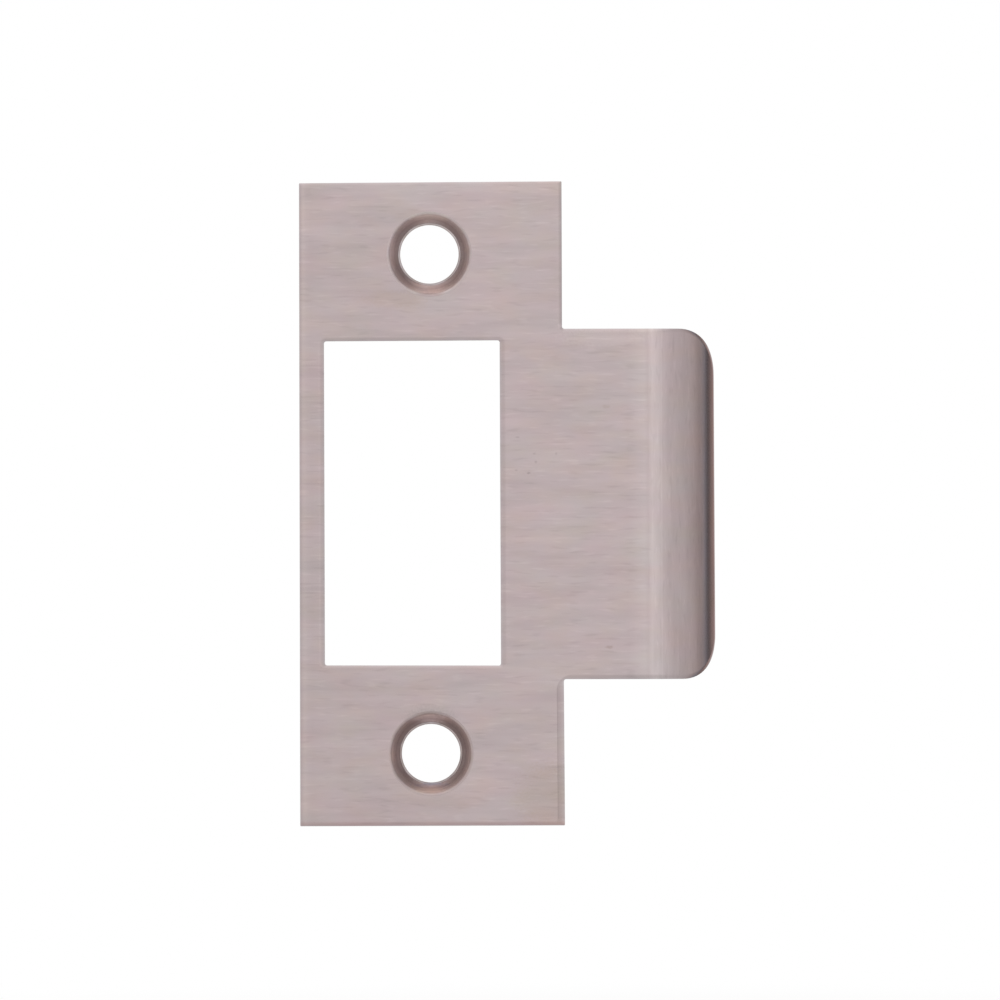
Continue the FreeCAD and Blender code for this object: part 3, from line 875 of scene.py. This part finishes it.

# %% [markdown]
# The countersinks are turned, so their marks are rings about the hole. A ring pattern needs the distance
# from the axis, and because the two holes are the same above and below the middle, one formula serves
# both: the length of (x, |z| - the holes' height). Down the cone the colour changes with that distance:
# pale at the shoulder, darkest just above it, and lighter again towards the mouth, where it meets the face.
# Apart from the grey shade over the lower cone, the marks round each cone are painted light: painted
# highlights, painted shade and painted reflections.

# %% The turned finish
# Distance from the hole's axis, and the colour there.
RINGS = [
    (BORE_RADIUS, seen(158, 145, 143)),
    (3.46, seen(198, 189, 191)),
    (3.6, seen(187, 177, 178)),
    (3.8, seen(180, 166, 167)),
    (4.02, seen(196, 182, 181)),
    (4.2, seen(205, 191, 190)),
    (4.36, seen(198, 184, 183)),
    (4.48, seen(184.5, 170.5, 171)),
]
RAMP_REACH = 1.6
LOWER_HOLE_TINT = (0.905, 0.885, 0.88, 1.0)
# Height of the hole, and its marks: name, centre from its axis, reach, strength, tint.
# Besides the shared grey shade, these are painted highlights, painted shade under the upper cone, and painted
# blue and red reflections in the lower cone.
TURNED_MARKS = {
    HOLE_HEIGHT: [
        ("paler top of the upper cone", (0, 4.08), (3.0, 0.7), 0.8, (1.16, 1.19, 1.16, 1)),
        ("paler left of the upper cone", (-4.12, 0), (0.7, 3.0), 0.8, (1.17, 1.17, 1.19, 1)),
        ("pale foot of the upper cone", (0, -3.85), (2.6, 0.6), 0.7, (1.03, 1.07, 1.07, 1)),
        ("duller rim under the upper cone", (0, -4.5), (3.0, 0.4), 0.8, (0.85, 0.83, 0.82, 1)),
    ],
    -HOLE_HEIGHT: [
        ("grey shade over the lower cone", (0, LOWER_SHADE_ABOVE), *LOWER_SHADE),
        ("pale arc in the lower cone", (0, 3.75), (2.6, 0.66), 0.9, (1.47, 1.54, 1.58, 1)),
        ("paler left of the lower cone", (-4.37, 0), (0.45, 3.0), 0.7, (1.2, 1.2, 1.2, 1)),
        ("blue grey at the lower shoulder", (0, -3.38), (2.8, 0.36), 0.8, (0.78, 0.85, 0.98, 1)),
        ("red arc under the lower cone", (0, -4.03), (2.8, 0.4), 0.8, (1.14, 1.12, 1.05, 1)),
    ],
}
CONE_MARK_DEPTH = 3.0
TURNED_CLOUDS, CLOSER = 0.6, (3.0, 3.0, 3.0)
RING_LINES = (6.0, 0.09)
RING_CONTRAST = 0.45
RING_BUMP = (0.4, 0.00003)
TURNED_ROUGHNESS, RING_ROUGHER = 0.3, 0.15
# How often the rings waver, and how far in radius and along them. The same two for the tones.
WAVER_SCALE, WAVER_OUT, WAVER_ALONG = 0.5, 0.25, 4.0
BLOTCH_SCALE, BLOTCH_OUT = 0.7, 0.45
turned, tree, place, u, v, w = new_finish("turned_hole")
from_axis = calc(tree, "SUBTRACT", calc(tree, "ABSOLUTE", v), HOLE_HEIGHT)
spoke = combine(tree, calc(tree, "SUBTRACT", u, HOLE_ASIDE), from_axis)
radius = calc_vector(tree, "LENGTH", spoke)
waver = noise(tree, place, WAVER_SCALE, 1.0)
ring_at = calc(tree, "MULTIPLY_ADD", waver, WAVER_OUT, radius)
ring_place = combine(tree, calc(tree, "MULTIPLY", waver, WAVER_ALONG), ring_at, w)
rings = scratched(tree, ring_place, RING_LINES)
blotch = calc(tree, "SUBTRACT", noise(tree, place, BLOTCH_SCALE), 0.5)
out_from_bore = calc(tree, "SUBTRACT", calc(tree, "MULTIPLY_ADD", blotch, BLOTCH_OUT, radius), BORE_RADIUS)
ramp = add_node(tree, "ShaderNodeValToRGB", {"Fac": calc(tree, "DIVIDE", out_from_bore, RAMP_REACH)})
for index, (distance, tone) in enumerate(RINGS):
    at = (distance - BORE_RADIUS) / RAMP_REACH
    stop = ramp.color_ramp.elements.new(at) if index > 1 else ramp.color_ramp.elements[index]
    stop.position = at
    stop.color = tone
lower = calc(tree, "LESS_THAN", v, 0.0)
colour = blend_colours(tree, "MULTIPLY", lower, ramp.outputs["Color"], LOWER_HOLE_TINT)
closer = calc_vector(tree, "MULTIPLY", place, CLOSER)
colour = use_group(tree, clouds, {"Vector": closer, "Color": colour, "Amount": TURNED_CLOUDS})
for height, marks in TURNED_MARKS.items():
    colour = with_marks(tree, place, colour, marks, CONE_MARK_DEPTH, (HOLE_ASIDE, height))
rough = calc(tree, "MULTIPLY_ADD", rings, RING_ROUGHER, TURNED_ROUGHNESS)
end_finish(tree, colour, rings, RING_CONTRAST, rough, rings, RING_BUMP)
print("tones down a cone:", len(RINGS))

# %% [markdown]
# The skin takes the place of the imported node, rides on the part's one body, and names the material slot
# that it is finished in.

# %% Dress the part
for finish in (satin, cut, turned):
    skin_mesh.materials.append(finish)
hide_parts(NODE)
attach(skin, "root")
frame["nodes"][NODE].data.materials.clear()
frame["nodes"][NODE].data.materials.append(satin)
print("finishes on the skin:", [material.name for material in skin_mesh.materials])

# %% [markdown]
# Metal shows its surroundings more than itself, so small metal parts are photographed in a light tent: a
# white cloth all round, with darker sides that draw the bend and the edges. The tent here is a sphere seen
# only by reflections. Its brightness is worked out for each direction: full in front, brighter above,
# falling to dark at the left and right horizon, and dimmer and warmer behind. Four lists give the
# brightness against the angle from the front, and are blended round the front axis. Two more give how
# warm the light is at each angle, and how cold at the right, because the bend shows both beside its dark
# line.

# %% The light tent
TENT_RADIUS = 0.6
POLE_GAP = 0.5
TENT_ANGLES = [0, 5, 12, 20, 26, 42, 58, 66, 74, 81, 86, 89, 93, 98, 106, 120, 150, 180]
TENT_RIGHT = [1, 1.06, 1.03, 0.955, 0.893, 0.79, 0.71, 0.65, 0.455]
TENT_RIGHT += [0.48, 0.43, 0.04, 0, 0.32, 0.5, 0.6, 0.8, 1]
TENT_LEFT = [1, 0.95, 0.92, 0.91, 0.9, 0.86, 0.8, 0.76, 0.68, 0.6, 0.48, 0.36, 0.29, 0.265, 0.35, 0.6, 0.8, 1]
TENT_ABOVE = [1, 1.04, 1.08, 1.12, 1.15, 1.2, 1.06, 0.96, 0.92, 0.94, 1, 1.08, 1.16, 1.24, 0.98, 0.7, 0.8, 1]
TENT_BELOW = [1, 0.94, 0.89, 0.86, 0.84, 0.8, 0.74, 0.7, 0.66, 0.62, 0.6, 0.59, 0.59, 0.6, 0.58, 0.55, 0.8, 1]
WARM_SHARE = [0, 0, 0, 0, 0, 0, 0.1, 0.25, 0.45, 0.45, 0, 0, 0.3, 1.3, 1.2, 0.8, 0.3, 0]
COLD_SHARE = [0, 0, 0, 0, 0, 0, 0, 0, 0, 0, 1, 1, 0, 0, 0, 0, 0, 0]
WARM_TINT = np.array([1.12, 0.93, 0.88])
COLD_TINT = np.array([0.93, 1.05, 1.23])
CORNER_ANGLES = [80, 98, 108, 130, 150]
CORNER_DIMMING = [0, 0.35, 0.65, 0.65, 0]
GAP_FILL, GAP_RISE = 0.27, 14
ON_AXIS = 1e-6


def tent_glow(directions):
    """The tent's colour in each direction from the part.

    With b the angle from the front (-y) and s, t the shares of the direction that point sideways and up:
    the right has the share min(2 s^2, 1) for s > 0, the left has s^2 for s < 0, and what is left of 1
    belongs to above for t > 0 and to below for t < 0. Behind the part, the tent's corners between the
    four are dimmed with the share 4 s^2 t^2, and above and below its middle the dark gap at the right
    is filled in with the share min(GAP_RISE t^2, 1).
    """
    angle = np.degrees(np.arccos(np.clip(-directions[:, 1], -1, 1)))
    sideways = np.hypot(directions[:, 0], directions[:, 2])
    share = directions[:, [0, 2]] / np.maximum(sideways, ON_AXIS)[:, None]
    right_share = np.minimum(2 * np.maximum(share[:, 0], 0) ** 2, 1)
    left_share = np.maximum(-share[:, 0], 0) ** 2
    upright_share = 1 - right_share - left_share
    shares = [right_share, left_share, upright_share * (share[:, 1] > 0), upright_share * (share[:, 1] <= 0)]
    lists = [TENT_RIGHT, TENT_LEFT, TENT_ABOVE, TENT_BELOW]
    level = sum(np.interp(angle, TENT_ANGLES, values) * part for part, values in zip(shares, lists))
    corner = 4 * share[:, 0] ** 2 * share[:, 1] ** 2
    level = level * (1 - corner * np.interp(angle, CORNER_ANGLES, CORNER_DIMMING))
    filled_in = GAP_FILL * np.minimum(GAP_RISE * share[:, 1] ** 2, 1)
    level = np.where(sideways < ON_AXIS, 1.0, np.maximum(level, filled_in))
    warm = np.interp(angle, TENT_ANGLES, WARM_SHARE)[:, None]
    cold = (np.interp(angle, TENT_ANGLES, COLD_SHARE) * right_share)[:, None]
    return level[:, None] * (1 + warm * (WARM_TINT - 1)) * (1 + cold * (COLD_TINT - 1))


def tent_sphere(rings=72, places=144):
    """A sphere about the part's origin: p = R (sin b cos a, -cos b, sin b sin a), faces inwards."""
    polar = np.linspace(POLE_GAP, 180 - POLE_GAP, rings) * np.pi / 180
    b, a = np.meshgrid(polar, full_turn(places), indexing="ij")
    directions = np.stack([np.sin(b) * np.cos(a), -np.cos(b), np.sin(b) * np.sin(a)], axis=-1)
    return directions.reshape(-1, 3), grid_faces(rings, places).tolist()


def bare_material(name):
    """A material with an empty tree, which isn't sampled as a lamp."""
    material = bpy.data.materials.new(name)
    material.use_nodes = True
    material.node_tree.nodes.clear()
    material.cycles.emission_sampling = "NONE"
    return material, material.node_tree


def studio_object(name, points, faces, material):
    """An object that stands about the part, from points in metres."""
    mesh = bpy.data.meshes.new(name)
    mesh.from_pydata(points.tolist(), [], faces)
    mesh.materials.append(material)
    return placed(name, mesh)


directions, faces = tent_sphere()
glow = tent_glow(directions)
cloth, tree = bare_material("tent_cloth")
cloth_colour = add_node(tree, "ShaderNodeAttribute", attribute_name="glow").outputs["Color"]
cloth_glow = add_node(tree, "ShaderNodeEmission", {"Color": cloth_colour, "Strength": 1.0}).outputs[0]
add_node(tree, "ShaderNodeOutputMaterial", {"Surface": cloth_glow})
tent = studio_object("light_tent", directions * TENT_RADIUS, faces, cloth)
add_attribute(tent.data, "glow", "FLOAT_COLOR", "color", np.column_stack([glow, np.ones(len(glow))]))
for ray in ("camera", "diffuse", "transmission", "volume_scatter", "shadow"):
    setattr(tent, f"visible_{ray}", False)
print("the tent glows from", glow[0].max().round(2), "in front to", min(TENT_RIGHT), "at its right side")

# %% [markdown]
# The floor is a wide pale disc under the plate. It keeps the soft shadow near the part and fades to pure
# white further out, so that it meets the white background without an edge. Seen from below it is clear.

# %% The floor
FLOOR_HEIGHT = -0.06
FLOOR_RADIUS = 2.0
WHITE = (1, 1, 1, 1)
PAPER = (0.93, 0.93, 0.93, 1)
MIDDLE_SHARE = 0.0005
# The middle of the shadow, and how far from it the fading to white starts and ends, in metres.
SHADOW_MIDDLE = (0.008, 0.0, FLOOR_HEIGHT)
FADE_FROM, FADE_TO = 0.03, 0.16


def disc(radius, height, rings=24, places=96):
    """A flat disc that faces up: p = (r cos a, r sin a, height), closed by one face in the middle."""
    shares = np.linspace(MIDDLE_SHARE, 1, rings)
    r, a = np.meshgrid(shares * radius, full_turn(places), indexing="ij")
    points = np.stack([r * np.cos(a), r * np.sin(a), np.full_like(r, height)], axis=-1)
    return points.reshape(-1, 3), grid_faces(rings, places).tolist() + [list(range(places))]


paper, tree = bare_material("floor_paper")
where = add_node(tree, "ShaderNodeTexCoord").outputs["Object"]
far = calc_vector(tree, "LENGTH", calc_vector(tree, "SUBTRACT", where, SHADOW_MIDDLE))
fade = rising(tree, far, FADE_FROM, FADE_TO, "SMOOTHSTEP")
matt = add_node(tree, "ShaderNodeBsdfDiffuse", {"Color": PAPER}).outputs[0]
white = add_node(tree, "ShaderNodeEmission", {"Color": WHITE, "Strength": 1.0}).outputs[0]
clear = add_node(tree, "ShaderNodeBsdfTransparent").outputs[0]
lit = add_node(tree, "ShaderNodeMixShader", {0: fade, 1: matt, 2: white}).outputs[0]
below = add_node(tree, "ShaderNodeNewGeometry").outputs["Backfacing"]
surface = add_node(tree, "ShaderNodeMixShader", {0: below, 1: lit, 2: clear}).outputs[0]
add_node(tree, "ShaderNodeOutputMaterial", {"Surface": surface})
floor = studio_object("floor", *disc(FLOOR_RADIUS, FLOOR_HEIGHT), paper)
floor.visible_glossy = False

# %% [markdown]
# The background is the world: white at strength 1 for what the camera and reflections see, and a plain
# level for the light that falls on the floor. One large soft lamp from above the camera gives the shadow
# its direction.


# %% World and lamp
ROOM_LIGHT = 0.62
LAMP_SIZE, LAMP_ENERGY = 0.5, 4.5
LAMP_PLACE = np.array([-0.25, -0.35, 0.75])


def stand(thing, right, up, back, place):
    """Place a lamp or a camera, which looks away from its back, by its three axes."""
    axes = np.column_stack([right, up, back, place])
    thing.matrix_world = Matrix(axes.tolist() + [[0, 0, 0, 1]])


world = bpy.data.worlds.new("studio")
bpy.context.scene.world = world
world.use_nodes = True
tree = world.node_tree
tree.nodes.clear()
path = add_node(tree, "ShaderNodeLightPath")
shown = calc(tree, "MAXIMUM", path.outputs["Is Camera Ray"], path.outputs["Is Glossy Ray"])
shown = calc(tree, "MAXIMUM", shown, path.outputs["Is Transmission Ray"])
backdrop = add_node(tree, "ShaderNodeBackground", {"Color": WHITE, "Strength": 1.0}).outputs[0]
room = add_node(tree, "ShaderNodeBackground", {"Color": WHITE, "Strength": ROOM_LIGHT}).outputs[0]
sky = add_node(tree, "ShaderNodeMixShader", {0: shown, 1: room, 2: backdrop}).outputs[0]
add_node(tree, "ShaderNodeOutputWorld", {"Surface": sky})
lamp_data = bpy.data.lights.new("soft_lamp", "AREA")
lamp_data.shape = "DISK"
lamp_data.size = LAMP_SIZE
lamp_data.energy = LAMP_ENERGY
lamp = placed("soft_lamp", lamp_data)
lamp_back = LAMP_PLACE / np.linalg.norm(LAMP_PLACE)
lamp_right = np.cross([0, 0, 1], lamp_back)
lamp_right = lamp_right / np.linalg.norm(lamp_right)
stand(lamp, lamp_right, np.cross(lamp_back, lamp_right), lamp_back, LAMP_PLACE)
lamp.visible_camera = False
lamp.visible_glossy = False
bpy.context.scene.view_settings.view_transform = "Standard"
print("lamp at", LAMP_PLACE)

# %% [markdown]
# The camera stands straight in front of the plate, about a metre away, as for a catalogue picture. Its
# place and lens come from three things measured on the photograph: the pixels for each millimetre at the
# front face, the pixel where the middle of the plate lies, and the small turn of the plate in the picture.

# %% The camera
PICTURE_SIZE = 1000
PIXELS_PER_MM = 9.222
PLATE_MIDDLE_PIXEL = (430.9, 503.8)
TURN = np.radians(0.2)
CAMERA_DISTANCE = 1000.0
SENSOR_WIDTH = 36.0
CLIP_START, CLIP_END = 0.1, 10.0
middle = PICTURE_SIZE / 2
aside = (middle - PLATE_MIDDLE_PIXEL[0]) / PIXELS_PER_MM
down = (middle - PLATE_MIDDLE_PIXEL[1]) / PIXELS_PER_MM
camera_x = aside * np.cos(TURN) - down * np.sin(TURN)
camera_z = -aside * np.sin(TURN) - down * np.cos(TURN)
camera_data = bpy.data.cameras.new("front_camera")
camera_data.sensor_width = SENSOR_WIDTH
camera_data.lens = SENSOR_WIDTH * CAMERA_DISTANCE / (PICTURE_SIZE / PIXELS_PER_MM)
camera_data.clip_start = CLIP_START
camera_data.clip_end = CLIP_END
camera = placed("front_camera", camera_data)
to_right = (np.cos(TURN), 0, -np.sin(TURN))
to_top = (np.sin(TURN), 0, np.cos(TURN))
camera_place = (camera_x * MM, (-THICKNESS - CAMERA_DISTANCE) * MM, camera_z * MM)
stand(camera, to_right, to_top, (0, -1, 0), camera_place)
bpy.context.scene.camera = camera
print(f"lens {camera_data.lens:.0f} mm, aimed at x = {camera_x:.2f}, z = {camera_z:.2f} mm")
